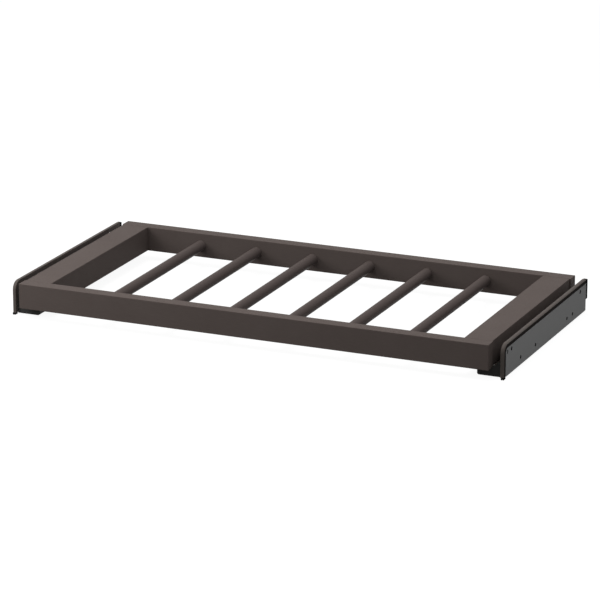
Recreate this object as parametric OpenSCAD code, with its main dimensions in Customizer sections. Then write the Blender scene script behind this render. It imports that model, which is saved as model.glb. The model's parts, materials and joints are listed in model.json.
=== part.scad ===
// Pull-out pants hanger for a wardrobe: a board frame with six round rods,
// carried on two telescopic ball runners that screw to the wardrobe's sides.
// Lengths are millimetres. X runs across, Y runs to the back, Z is up.

/* [Overall] */
// Width over the two side plates, for a clear space of 964
overall_w = 963; // [840:1:1160]
// Depth of the frame, front face to back face
frame_d = 456; // [430:1:560]

/* [Frame] */
// Height of all four rails
rail_h = 47; // [44:1:60]
// Thickness of the front and back rails
rail_t = 25; // [22:1:30]
// Width of the side rails
side_w = 52; // [50:1:70]
// How far the side rails stand in from the ends of the other two
side_inset = 2; // [0:0.5:3]
// Radius along the rails' long edges
edge_r = 1; // [0.5:0.25:2]

/* [Rods] */
// Outer diameter of a rod
rod_d = 20.5; // [16:0.5:25]
// Wall of the rod's tube
rod_wall = 1.5; // [1:0.25:3]
// Distance from one rod to the next
rod_pitch = 116.5; // [90:0.5:125]
// Depth of the blind seats that hold the rods' ends
rod_seat = 12; // [8:1:16]
// Clearance round a rod in its seat
rod_fit = 0.1; // [0.05:0.05:0.3]

/* [Corner fittings] */
// Diameter of a corner dowel
dowel_d = 8; // [6:1:10]
// Length of a corner dowel
dowel_len = 30; // [26:1:36]
// How far a dowel sits in the front or back rail
dowel_deep = 12; // [8:1:16]
// Distance of a dowel from the side rail's long faces
dowel_edge = 11; // [9:1:13]
// Diameter of a cam disc
cam_d = 15; // [12:1:16]
// Height of a cam disc
cam_h = 12.5; // [10:0.5:14]
// Distance of a cam disc's centre from the side rail's end
cam_reach = 24; // [22:1:30]
// Diameter of a cam bolt
cam_bolt_d = 6; // [5:0.5:7]

/* [Carrier] */
// Sheet thickness of the carrier that the frame stands on
carrier_t = 1.5; // [1:0.25:2]
// Reach of the carrier under the frame, from the frame's end
carrier_in = 29; // [27:1:34]
// How far the carrier reaches below the frame
carrier_drop = 17; // [15:0.5:19]
// Width of the carrier's seat under the side rail
carrier_seat = 22; // [18:1:24]
// Free space between the frame's end and the carrier's leg
frame_gap = 1.6; // [1.5:0.1:4]
// Thickness of the carrier's plastic end cap
end_cap_t = 2; // [1.5:0.25:3]
// Outer radius of the carrier's folds and of the end cap's lower corner
fold_r = 3.5; // [2.5:0.5:5]
// Distance from the side plate's front edge back to the end cap
end_cap_back = 6.5; // [0:0.5:8]
// Height of the end cap's raised side above the frame's underside
end_cap_rise = 9; // [6:0.5:12]
// Width of the end cap's raised side
end_cap_rise_w = 7; // [4:0.5:10]
// Height of the end cap's step beside the frame's end
end_cap_step = 2.5; // [1:0.5:3]
// Radius of the hollow between the step and the raised side
end_cap_hollow = 6; // [2:0.5:7]
// Diameter of a screw up into the side rail
frame_screw_d = 4; // [3:0.5:4.5]
// Length of a screw's shank in the side rail
frame_screw_len = 14; // [10:1:18]
// Distance of the first and last screw from the side rail's ends
frame_screw_edge = 60; // [40:1:70]

/* [Slide] */
// Height of the slide's largest member
slide_h = 35; // [34:0.5:38]
// Height of the slide's centre line above the frame's underside
slide_z = 6; // [5:0.5:6.5]
// Sheet thickness of the slide's members
steel_t = 1.2; // [1:0.1:1.4]
// Diameter of a bearing ball
ball_d = 3.4; // [3.2:0.1:3.6]
// Running clearance between a ball and its race
race_fit = 0.05; // [0.03:0.01:0.08]
// Sheet thickness of a ball cage
cage_t = 0.6; // [0.5:0.1:0.7]
// Clearance between a cage and the members beside it
cage_fit = 0.4; // [0.35:0.05:0.5]
// Space between the race lips and the drawer member's web
web_gap = 0.95; // [0.8:0.05:1.5]
// Balls in each row of a cage
row_balls = 8; // [6:1:12]
// Pull-out length of the frame
travel = 400; // [200:10:400]
// Distance from the side plate's front edge to the slide's front
slide_back = 36.5; // [10:0.5:40]
// Length of the rubber bumper behind the moving members
bumper_len = 6.7; // [4:0.1:9]

/* [Side plate and cover] */
// How far the side plate's front stands behind the frame's front
runner_front = 17.5; // [10:0.5:30]
// How far the side plate ends before the frame's back
runner_rear = 6; // [6:1:20]
// How far the side plate reaches below the frame
runner_drop = 16; // [14:0.5:18]
// Height of the cover's top above the frame's underside
cover_top = 44; // [42:0.5:50]
// Width of the cover, across
cover_w = 7.5; // [6.5:0.5:10]
// Height of the cover's rim over the side plate
cover_rim = 8.5; // [7:0.5:10]
// Radius of the cover's upper front corner
cover_r = 17; // [14:1:20]
// Wall of the cover
cover_wall = 1.5; // [1:0.1:1.6]
// How far the cover's lip reaches down over the side plate's flange
cover_lip = 2; // [2:0.5:6]
// Thickness of the side plate
plate_t = 1.5; // [1.2:0.1:2]
// Radius of the side plate's lower corners
plate_r = 2; // [1:0.5:5]

/* [Screw holes] */
// Diameter of the holes for the wardrobe screws
hole_d = 6.5; // [4:0.5:7]
// Height of the screw holes above the frame's underside
hole_z = 28.5; // [26.5:0.5:29]
// Distance from the side plate's front edge to the first hole
hole_first = 16; // [14:0.5:20]
// Distance between the two main holes
hole_span = 384; // [320:32:384]
// Distance from the first hole to the spare hole
hole_spare = 20; // [12:1:32]

/* [Rear cap and foot] */
// Length of the cover's plastic rear cap
rear_cap_len = 9; // [6:0.5:12]
// Height of the rear cap's lower end above the frame's underside
rear_cap_low = 5; // [0:0.5:20]
// How far the front foot reaches below the side plate
foot_drop = 4; // [3:0.5:6]
// Width of the front foot, across
foot_w = 6; // [6:0.25:7]

/* [Hidden] */
$fn = 48;
rods = 6;
eps = 0.01;
// How far a cut runs past the face that it opens
over = 1;
seat_gap = 0.3;
side_names = ["left", "right"];

// Cross-section of a slide: three nested C members with a cage and two rows of
// balls between each pair. Names in _u lie inwards from its outer face, names
// in _v up from its centre line.
lip_angle = 25;
ball_r = ball_d / 2;
race_r = ball_r + race_fit;
lip_u = (race_r + steel_t) * cos(lip_angle);
cage_o_u = steel_t + cage_fit;
mid_u = cage_o_u + cage_t + cage_fit;
cage_i_u = mid_u + steel_t + cage_fit;
ball_u = cage_i_u + cage_t + cage_fit + lip_u;
slide_t = ball_u + lip_u + web_gap + steel_t;
ball_o_v = slide_h / 2 - steel_t - race_r;
mid_v = ball_o_v - race_r;
ball_i_v = mid_v - steel_t - race_r;
draw_v = ball_i_v - race_r;
cage_reach = ball_u + race_r + cage_fit;

// Places across, worked inwards from the side plate's outer face
cover_gap = 0.2;
plate_x = overall_w / 2;
slide_x = plate_x - cover_w - cover_gap;
leg_x = slide_x - slide_t - carrier_t;
frame_x = leg_x - frame_gap;
frame_w = 2 * frame_x;
side_out = frame_x - side_inset;
side_in = side_out - side_w;
side_mid = (side_out + side_in) / 2;
carrier_x = frame_x - carrier_in;
carrier_out = slide_x - 2 * seat_gap;
screw_x = carrier_x + carrier_seat / 2;

// Places from front to back
end_margin = 1;
plate_y = runner_front;
plate_end = frame_d - runner_rear;
slide_y = plate_y + slide_back;
cabinet_end = plate_end - end_margin;
bumper_y = cabinet_end - bumper_len;
slide_end = bumper_y - seat_gap;
slide_len = slide_end - slide_y;
stage = travel / 2;
cage_margin = 5;
cage_len = slide_len - stage - 2 * cage_margin;
cage_y = slide_y + stage / 2 + cage_margin;
row_pitch = cage_len / row_balls;
cap_y = plate_y + end_cap_back;
carrier_y = cap_y + end_cap_t;
plug_len = 5;
carrier_len = slide_end - carrier_y;
leg_top = slide_z + draw_v;
screw_ys = [rail_t + frame_screw_edge, frame_d / 2, frame_d - rail_t - frame_screw_edge];
hole_ys = [plate_y + hole_first, plate_y + hole_first + hole_spare, plate_y + hole_first + hole_span];

// Rivets, spacer channel and small fits
rivet_d = 6;
rivet_head_d = 7;
rivet_head_h = 0.6;
rivet_sink = 0.2;
plate_rivet_v = -7.75;
plate_rivet_y = [84, 160.5, 328.5, 359];
leg_rivet_d = 4;
leg_rivet_y = [42.5, 202.5, 362.5];
// Height of the carrier's leg in front of the slide
leg_low = 4;
spacer_h = 28;
spacer_t = 1.2;
spacer_end = 2;
sole_t = 1;
flange_lap = 1.5;
strip_sink = 0.3;
screw_head_d = 8;
screw_head_h = 2.4;
driver_hole_d = 10;
cam_slot = 2;
hole_fit = 0.1;
dowel_fit = 0.05;
pocket_fit = 0.3;

mid_y = (plate_end + rear_cap_len) / 2;
floor_z = runner_drop + foot_drop;

board = "#5a4e4a";
rod_paint = "#544945";
carrier_paint = "#544945";
cover_paint = "#665f59";
plate_grey = "#575757";
black_steel = "#1e1f20";
bright_steel = "#a3a6a8";
black_plastic = "#141414";
beech = "#b99a6b";

// Puts the origin under the middle of the whole hanger, at the feet
module place() translate([0, -mid_y, floor_z]) children();

// Side 0 is the left one, made as the mirror image of side 1
module on_side(side) {
    if (side == 0) mirror([1, 0, 0]) children();
    else children();
}

// End 0 is the front one, end 1 its mirror image at the back
module at_end(end) {
    if (end == 1) translate([0, frame_d, 0]) mirror([0, 1, 0]) children();
    else children();
}

module four_corners() {
    for (side = [0, 1]) for (end = [0, 1]) on_side(side) at_end(end) children();
}

// Extrudes an X-Z outline along Y
module along_y(y, len) translate([0, y + len, 0]) rotate([90, 0, 0]) linear_extrude(len) children();

// Extrudes a Y-Z outline along X
module along_x(x, len) translate([x, 0, 0]) rotate([90, 0, 90]) linear_extrude(len) children();

// A round bar or hole along Y, starting at y
module rod_y(x, y, z, d, len) translate([x, y, z]) rotate([-90, 0, 0]) cylinder(d = d, h = len);

// A round bar or hole along X, starting at x
module rod_x(x, y, z, d, len) translate([x, y, z]) rotate([0, 90, 0]) cylinder(d = d, h = len);

// A rectangle from [x, y] with round corners
module soft_rect(x, y, w, h, r) translate([x, y]) {
    translate([r, 0]) square([w - 2 * r, h]);
    translate([0, r]) square([w, h - 2 * r]);
    for (cx = [r, w - r]) for (cy = [r, h - r]) translate([cx, cy]) circle(r);
}

// What is cut away to round a corner at the origin, with the shape beyond it
module corner_cut(r) difference() {
    translate([-r, -r]) square(2 * r);
    translate([r, r]) circle(r);
}

// The dowels and the cam bolt of one front corner, as bars or, with more
// diameter and depth, as their holes
module corner_dowel_bars(more, deeper) {
    for (x = [side_in + dowel_edge, side_out - dowel_edge])
        rod_y(x, rail_t - dowel_deep - deeper, rail_h / 2, dowel_d + 2 * more, dowel_len + 2 * deeper);
}

module cam_bolt_bar(more, deeper) {
    reach = cam_reach - cam_d / 2 + cam_bolt_d / 2;
    rod_y(side_mid, rail_t - dowel_deep - deeper, rail_h / 2, cam_bolt_d + 2 * more,
          dowel_deep + reach + 2 * deeper);
}

module end_rail() difference() {
    along_x(-frame_x, frame_w) soft_rect(0, 0, rail_t, rail_h, edge_r);
    for (i = [0:rods - 1])
        rod_y((i - (rods - 1) / 2) * rod_pitch, rail_t - rod_seat, rail_h / 2,
              rod_d + 2 * rod_fit, rod_seat + over);
    for (side = [0, 1]) on_side(side) {
        corner_dowel_bars(dowel_fit, dowel_fit);
        cam_bolt_bar(dowel_fit, dowel_fit);
    }
}

module front_rail() color(board) place() end_rail();

module back_rail() color(board) place() at_end(1) end_rail();

module side_rail(side) color(board) place() on_side(side) difference() {
    along_y(rail_t, frame_d - 2 * rail_t) soft_rect(side_in, 0, side_w, rail_h, edge_r);
    for (end = [0, 1]) at_end(end) {
        corner_dowel_bars(dowel_fit, dowel_fit);
        cam_bolt_bar(dowel_fit, dowel_fit);
        translate([side_mid, rail_t + cam_reach, -over])
            cylinder(d = cam_d + 2 * hole_fit, h = cam_pocket_h() + over);
    }
    for (y = screw_ys)
        translate([screw_x, y, -over])
            cylinder(d = frame_screw_d + 2 * dowel_fit, h = frame_screw_len + over + pocket_fit);
}

// The cam disc's middle is at the bolt's height, so its pocket is that deep
function cam_pocket_h() = rail_h / 2 + cam_h / 2;

module rod(i) color(rod_paint) place() difference() {
    x = (i - (rods + 1) / 2) * rod_pitch;
    y = rail_t - rod_seat + rod_fit;
    len = frame_d - 2 * y;
    rod_y(x, y, rail_h / 2, rod_d, len);
    rod_y(x, y - over, rail_h / 2, rod_d - 2 * rod_wall, len + 2 * over);
}

module corner_dowels() color(beech) place() four_corners() corner_dowel_bars(0, 0);

module cam_bolts() color(bright_steel) place() four_corners() cam_bolt_bar(0, 0);

// Each disc is bored at the side for the bolt and slotted below for a driver
module cam_discs() color(bright_steel) place() four_corners()
    translate([side_mid, rail_t + cam_reach, rail_h / 2]) difference() {
        translate([0, 0, -cam_h / 2]) cylinder(d = cam_d, h = cam_h);
        rod_y(0, -cam_d, 0, cam_bolt_d + 2 * hole_fit, cam_d / 2 + cam_bolt_d / 2 + over);
        translate([-cam_d / 4, -cam_slot / 2, -cam_h / 2 - over])
            cube([cam_d / 2, cam_slot, cam_slot + over]);
    }

module frame_screws() color(black_steel) place()
    for (side = [0, 1]) on_side(side) for (y = screw_ys) translate([screw_x, y, 0]) {
        translate([0, 0, -carrier_t]) cylinder(d = frame_screw_d, h = carrier_t + frame_screw_len);
        translate([0, 0, -carrier_t - screw_head_h]) cylinder(d = screw_head_d, h = screw_head_h);
    }

// Folded sheet seen from the front: a seat under the side rail, a web, a floor
// and a leg that stands beside the drawer member
module carrier_outline() {
    w = leg_x + carrier_t - carrier_x;
    difference() {
        soft_rect(carrier_x, -carrier_drop, w, carrier_drop, fold_r);
        soft_rect(carrier_x + carrier_t, carrier_t - carrier_drop, w - 2 * carrier_t,
                  carrier_drop - 2 * carrier_t, fold_r - carrier_t);
        translate([carrier_x + carrier_seat, -fold_r]) square([w, fold_r + over]);
    }
    translate([leg_x, -carrier_drop / 2]) square([carrier_t, carrier_drop / 2 + leg_top]);
}

module carrier(side) color(carrier_paint) place() on_side(side) difference() {
    along_y(carrier_y, carrier_len) carrier_outline();
    for (y = screw_ys) translate([screw_x, y, -carrier_drop - over]) {
        cylinder(d = driver_hole_d, h = carrier_t + 2 * over);
        cylinder(d = frame_screw_d + 2 * hole_fit, h = carrier_drop + 2 * over);
    }
    for (y = leg_rivet_y)
        rod_x(leg_x - over, plate_y + y, slide_z, leg_rivet_d + 2 * dowel_fit, carrier_t + 2 * over);
    translate([leg_x - over, carrier_y - over, leg_low])
        cube([carrier_t + 2 * over, slide_y - carrier_y + over, leg_top]);
}

// Moulded cap that closes the carrier's front. Beside the frame it has a low
// step, which runs up in a hollow curve to its raised side.
module carrier_cap(side) color(black_plastic) place() on_side(side) {
    rise_x = carrier_out - end_cap_rise_w;
    step_x = frame_x + seat_gap;
    r = min(end_cap_hollow, end_cap_rise - end_cap_step, rise_x - step_x);
    along_y(cap_y, end_cap_t) {
        difference() {
            translate([carrier_x, -carrier_drop])
                square([carrier_out - carrier_x, carrier_drop - seat_gap]);
            translate([carrier_x, -carrier_drop]) corner_cut(fold_r);
        }
        translate([rise_x, -carrier_drop]) square([end_cap_rise_w, carrier_drop + end_cap_rise]);
        translate([step_x, -carrier_drop]) square([carrier_out - step_x, carrier_drop + end_cap_step]);
        translate([rise_x - r, end_cap_step - eps]) difference() {
            square(r + eps);
            translate([0, r + eps]) circle(r);
        }
    }
    gap = carrier_t + hole_fit;
    along_y(carrier_y - eps, plug_len)
        soft_rect(carrier_x + gap, gap - carrier_drop, carrier_seat - 2 * gap,
                  carrier_drop - 2 * gap, fold_r - gap);
}

// One bent edge of a race: a strip curled round a row of balls
module race_lip(v, start) translate([ball_u, v]) rotate(start) intersection() {
    difference() {
        circle(race_r + steel_t);
        circle(race_r);
    }
    intersection() {
        square(2 * race_r + 2 * steel_t);
        rotate(lip_angle) square(2 * race_r + 2 * steel_t);
    }
}

// The slide's outlines lie in [u, v]: u inwards from the slide's outer face,
// v up from its centre line. The lower half mirrors the upper one.
module both_halves() {
    children();
    mirror([0, 1]) children();
}

module cabinet_outline() {
    translate([0, -slide_h / 2]) square([steel_t, slide_h]);
    both_halves() {
        translate([0, slide_h / 2 - steel_t]) square([ball_u, steel_t]);
        race_lip(ball_o_v, 0);
    }
}

module middle_outline() {
    translate([mid_u, -mid_v]) square([steel_t, 2 * mid_v]);
    both_halves() {
        translate([mid_u, mid_v - steel_t]) square([ball_u - mid_u, steel_t]);
        race_lip(ball_o_v, 180);
        race_lip(ball_i_v, 0);
    }
}

module drawer_outline() {
    translate([slide_t - steel_t, -draw_v]) square([steel_t, 2 * draw_v]);
    both_halves() {
        translate([ball_u, draw_v - steel_t]) square([slide_t - ball_u, steel_t]);
        race_lip(ball_i_v, 180);
    }
}

module cage_outline(u, v) difference() {
    translate([u, -v - cage_t / 2]) square([cage_reach - u, 2 * v + cage_t]);
    translate([u + cage_t, -v + cage_t / 2]) square([cage_reach, 2 * v - cage_t]);
}

// Turns [u, v] outlines into pieces of the right-hand slide
module in_slide(y, len) translate([slide_x, 0, slide_z]) along_y(y, len) mirror([1, 0]) children();

module plate_rivet_bars(x, d, len)
    for (y = plate_rivet_y) rod_x(x, plate_y + y, slide_z + plate_rivet_v, d, len);

module cabinet_member(side) color(bright_steel) place() on_side(side) difference() {
    in_slide(slide_y, cabinet_end - slide_y) cabinet_outline();
    plate_rivet_bars(slide_x - 2 * steel_t, rivet_d + 2 * dowel_fit, 4 * steel_t);
}

module middle_member(side) color(bright_steel) place() on_side(side)
    in_slide(slide_y, slide_len) middle_outline();

module drawer_member(side) color(bright_steel) place() on_side(side) difference() {
    in_slide(slide_y, slide_len) drawer_outline();
    for (y = leg_rivet_y)
        rod_x(leg_x, plate_y + y, slide_z, leg_rivet_d + 2 * dowel_fit, carrier_t + 2 * steel_t);
}

module cage(side, u, v) color(bright_steel) place() on_side(side) difference() {
    in_slide(cage_y, cage_len) cage_outline(u, v);
    for (n = [0:row_balls - 1])
        translate([slide_x - ball_u, cage_y + (n + 0.5) * row_pitch, slide_z]) for (up = [-1, 1])
            translate([0, 0, up * v - cage_t]) cylinder(r = race_r + race_fit, h = 2 * cage_t);
}

module balls(v) color(bright_steel) place()
    for (side = [0, 1]) on_side(side) for (n = [0:row_balls - 1]) for (up = [-1, 1])
        translate([slide_x - ball_u, cage_y + (n + 0.5) * row_pitch, slide_z + up * v]) sphere(ball_r);

module carrier_rivets() color(bright_steel) place()
    for (side = [0, 1]) on_side(side) for (y = leg_rivet_y) {
        rod_x(leg_x, plate_y + y, slide_z, leg_rivet_d, carrier_t + steel_t);
        rod_x(leg_x - rivet_head_h, plate_y + y, slide_z, rivet_head_d, rivet_head_h);
        rod_x(leg_x + carrier_t + steel_t, plate_y + y, slide_z, rivet_head_d, rivet_head_h);
    }

// Long rivets hold the cabinet member, the spacer and the side plate together
module plate_rivets() color(black_steel) place() for (side = [0, 1]) on_side(side)
    plate_rivet_bars(slide_x - steel_t, rivet_d, plate_x - slide_x + steel_t - rivet_sink);

// Folded channel that holds the slide off the side plate, level with the cover
module spacer(side) color(plate_grey) place() on_side(side) difference() {
    depth = plate_x - plate_t - slide_x;
    along_y(slide_y + spacer_end, cabinet_end - slide_y - 2 * spacer_end)
        translate([slide_x, slide_z - spacer_h / 2]) difference() {
            square([depth, spacer_h]);
            translate([spacer_t, spacer_t]) square([depth, spacer_h - 2 * spacer_t]);
        }
    plate_rivet_bars(slide_x - over, rivet_d + 2 * dowel_fit, spacer_t + 2 * over);
}

// The runner's side outline, drawn in from its top and front by inset and
// run past its back and lower end by past
module side_outline(inset, past = 0) {
    y = plate_y + inset;
    low = -runner_drop - past;
    end = plate_end + past;
    top = cover_top - inset;
    r = cover_r - inset;
    translate([y + r, low]) square([end - y - r, top - low]);
    translate([y, low]) square([r + eps, top - r - low]);
    translate([y + r, top - r]) circle(r);
}

// The top and front rim of that outline, between two insets
module rim_outline(from, to) difference() {
    side_outline(from);
    side_outline(to, over);
}

module panel_outline() difference() {
    side_outline(cover_rim);
    translate([plate_y + cover_rim, -runner_drop]) corner_cut(plate_r);
    translate([plate_end, -runner_drop]) mirror([1, 0]) corner_cut(plate_r);
}

// Flat panel with a flange set in round its top and front for the cover
module plate(side) color(plate_grey) place() on_side(side) difference() {
    union() {
        along_x(plate_x - plate_t, plate_t) panel_outline();
        along_x(plate_x - 2 * plate_t, plate_t)
            rim_outline(cover_wall + hole_fit, cover_rim + flange_lap);
    }
    for (y = hole_ys)
        rod_x(plate_x - 2 * plate_t - over, y, hole_z, hole_d, 2 * (plate_t + over));
    plate_rivet_bars(plate_x - 2 * plate_t, rivet_d + 2 * dowel_fit, 3 * plate_t);
}

// Thin shell that rides over the plate's flange, with a short lip outside it
module cover(side) color(cover_paint) place() on_side(side) difference() {
    along_x(plate_x - cover_w, cover_w) rim_outline(0, cover_rim);
    along_x(plate_x - cover_w + cover_wall, cover_w - cover_wall - plate_t + dowel_fit)
        rim_outline(cover_wall, cover_rim + over);
    along_x(plate_x - plate_t, plate_t + over) rim_outline(cover_lip, cover_rim + over);
}

// Strip on the plate's flange, in the slot between the cover's lip and the panel
module edge_strip(side) color(black_plastic) place() on_side(side)
    along_x(plate_x - plate_t, plate_t - strip_sink)
        rim_outline(cover_lip + hole_fit, cover_rim - hole_fit);

module rear_cap(side) color(black_plastic) place() on_side(side) {
    along_x(plate_x - cover_w, cover_w)
        soft_rect(plate_end, rear_cap_low, rear_cap_len, cover_top - cover_wall - rear_cap_low, plate_r);
    along_x(plate_x - cover_w, cover_w)
        translate([plate_end, rear_cap_low]) square([plate_r, cover_top - cover_wall - rear_cap_low]);
    plug_w = cover_w - cover_wall - 2 * plate_t - hole_fit;
    along_x(plate_x - cover_w + cover_wall + hole_fit, plug_w - hole_fit)
        translate([plate_end - cover_rim, cover_top - cover_rim])
            square([cover_rim + eps, cover_rim - cover_wall - hole_fit]);
}

// Foot with two round lobes, plugged into the cover's lower end
module foot(side) color(black_plastic) place() on_side(side) {
    wall = cover_wall + hole_fit;
    out_x = plate_x - hole_fit;
    lobe = foot_w / 2 - hole_fit;
    len = cover_rim - 2 * hole_fit;
    for (n = [0, 1]) along_y(plate_y + hole_fit, len)
        translate([out_x - foot_w + n * (foot_w - lobe), -floor_z]) {
            translate([lobe / 2, lobe / 2]) circle(d = lobe);
            translate([0, lobe / 2]) square([lobe, foot_drop - lobe / 2]);
        }
    along_y(plate_y + hole_fit, len)
        translate([out_x - foot_w, -runner_drop - sole_t]) square([foot_w, sole_t]);
    along_y(plate_y + wall, cover_rim - wall)
        translate([plate_x - cover_w + wall, -runner_drop - eps])
            square([cover_w - cover_wall - 2 * plate_t - 2 * hole_fit, cover_rim]);
}

module rear_bumpers() color(black_plastic) place() for (side = [0, 1]) on_side(side)
    in_slide(bumper_y, bumper_len)
        translate([steel_t, -draw_v]) square([ball_u + lip_u - steel_t, 2 * draw_v]);

front_rail();
back_rail();
corner_dowels();
cam_bolts();
cam_discs();
frame_screws();
carrier_rivets();
plate_rivets();
balls(ball_o_v);  // outer_balls
balls(ball_i_v);  // inner_balls
rear_bumpers();
for (i = [1:rods]) rod(i);
for (s = [0, 1]) {
    side_rail(s);
    carrier(s);
    carrier_cap(s);
    drawer_member(s);
    middle_member(s);
    cabinet_member(s);
    cage(s, cage_o_u, ball_o_v);
    cage(s, cage_i_u, ball_i_v);
    spacer(s);
    plate(s);
    cover(s);
    edge_strip(s);
    rear_cap(s);
    foot(s);
}
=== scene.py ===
# %% [markdown]
# # A pull-out pants hanger, piece by piece
#
# The real object is a shallow board frame with six round rods. It stands on two
# folded steel carriers, and each carrier is riveted to a telescopic ball slide.
# The slide hangs on a grey side plate, whose top and front edge wear a plastic
# cover. This lesson loads the engineer's solids and dresses them: each visible
# piece is modelled again with the small edges, folds and recesses that catch
# light, and each gets the material that the real one is made of.
#
# The first cell loads the fixed frame. Its solids say where every piece goes.

import json
import math

import bmesh
import bpy
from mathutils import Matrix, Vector

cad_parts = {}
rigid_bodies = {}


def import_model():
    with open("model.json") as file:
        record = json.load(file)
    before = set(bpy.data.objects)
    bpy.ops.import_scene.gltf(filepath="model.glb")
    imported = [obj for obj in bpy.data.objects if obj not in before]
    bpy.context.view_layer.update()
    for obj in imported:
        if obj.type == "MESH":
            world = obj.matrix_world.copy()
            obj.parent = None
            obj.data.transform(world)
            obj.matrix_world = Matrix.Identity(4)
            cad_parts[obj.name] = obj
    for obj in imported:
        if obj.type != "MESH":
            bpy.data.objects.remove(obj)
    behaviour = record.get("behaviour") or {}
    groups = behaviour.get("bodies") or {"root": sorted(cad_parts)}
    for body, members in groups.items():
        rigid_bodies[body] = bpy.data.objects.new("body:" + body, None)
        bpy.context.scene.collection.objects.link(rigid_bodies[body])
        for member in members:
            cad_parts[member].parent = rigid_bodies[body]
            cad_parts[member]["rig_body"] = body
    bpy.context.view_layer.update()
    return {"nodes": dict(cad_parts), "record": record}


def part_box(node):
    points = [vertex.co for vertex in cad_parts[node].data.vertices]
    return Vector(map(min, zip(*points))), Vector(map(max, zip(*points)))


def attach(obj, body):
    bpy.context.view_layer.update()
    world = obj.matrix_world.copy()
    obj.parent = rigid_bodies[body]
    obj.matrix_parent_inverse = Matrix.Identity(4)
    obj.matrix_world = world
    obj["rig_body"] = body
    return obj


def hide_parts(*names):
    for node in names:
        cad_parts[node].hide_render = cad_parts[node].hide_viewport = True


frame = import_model()
nodes = frame["nodes"]

# %% [markdown]
# ## Real sizes
#
# Places come from the solids' own boxes, so nothing here can drift away from
# them. Only what a box can't tell, such as the radius of a fold, is written down,
# in millimetres times this one unit.

# %% Sizes that the boxes don't tell
MM = 0.001

RAIL_EDGE = 1 * MM
FINE_EDGE = 0.3 * MM
SEAM_EDGE = 1 * MM
ROD_FIT = 0.1 * MM
SHEET = 1.5 * MM
FOLD = 3.5 * MM
COVER_WALL = 1.5 * MM
COVER_RIM = 8.5 * MM
COVER_LIP = 2 * MM
COVER_CORNER = 17 * MM
PLATE_CORNER = 2 * MM
SHEET_EDGE = 0.2 * MM
MOULDED_EDGE = 0.15 * MM
PAST = 1 * MM
LINE = 0.1 * MM
SAME_PLACE = 0.02 * MM
SHARP_EDGE = math.radians(40)
SMOOTH_EDGE = math.radians(35)

# %% [markdown]
# ## Colours
#
# A colour is easiest to pick as the hex code of a swatch, but Blender's shaders
# work with linear light. One function turns the first into the second.

# %% Colour from a hex code
def hex_to_linear(code):
    """A linear RGBA colour from an sRGB hex code such as #6d635f."""
    parts = [int(code[i:i + 2], 16) / 255 for i in (1, 3, 5)]
    return [c / 12.92 if c <= 0.04045 else ((c + 0.055) / 1.055) ** 2.4 for c in parts] + [1.0]


print("foil brown in linear light:", [round(c, 3) for c in hex_to_linear("#6d635f")])

# %% [markdown]
# ## One function for every shader node
#
# A material is a small network of nodes. Each node has settings and inputs, and
# an input is either a fixed value or the output of another node. This function
# takes both, so a whole network reads from top to bottom like a recipe.

# %% Add a shader node
def add_node(tree, kind, settings=None, inputs=None):
    """Add one node. An input may be a value or the output socket of another node."""
    node = tree.nodes.new(kind)
    for key, value in (settings or {}).items():
        setattr(node, key, value)
    for key, value in (inputs or {}).items():
        if isinstance(value, bpy.types.NodeSocket):
            tree.links.new(value, node.inputs[key])
        else:
            node.inputs[key].default_value = value
    return node


def new_material(name):
    """An empty material, ready for its recipe."""
    material = bpy.data.materials.new(name)
    material.use_nodes = True
    material.node_tree.nodes.clear()
    return material, material.node_tree


def object_mapping(tree, scale=(1, 1, 1)):
    """Places in metres on the piece, stretched by scale, for a pattern to read."""
    place = add_node(tree, "ShaderNodeTexCoord")
    return add_node(tree, "ShaderNodeMapping", {}, {
        "Vector": place.outputs["Object"], "Scale": scale}).outputs["Vector"]


def per_metre(size_mm):
    """The scale of a pattern whose features are this many millimetres long."""
    return 1 / (size_mm * MM)


def close_material(tree, inputs):
    """Join the finished inputs to the shader and the shader to the output."""
    shader = add_node(tree, "ShaderNodeBsdfPrincipled", {}, inputs)
    add_node(tree, "ShaderNodeOutputMaterial", {}, {"Surface": shader.outputs["BSDF"]})


# %% [markdown]
# ## Foil on particleboard
#
# The four rails are particleboard wrapped in a matt melamine foil, printed in an
# even grey-brown and pressed with shallow pores that run along the board. It
# could be painted flat, but then it would look like card. So a long stretched
# noise gives faint streaks, and a finer one presses the pores in. The pores run
# along each rail, so the rails that lie across get their own material.

# %% Foil material
FOIL = "#6d635f"
FOIL_STREAK = "#665c58"
PORE_LONG = 14
PORE_WIDE = 0.7


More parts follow.
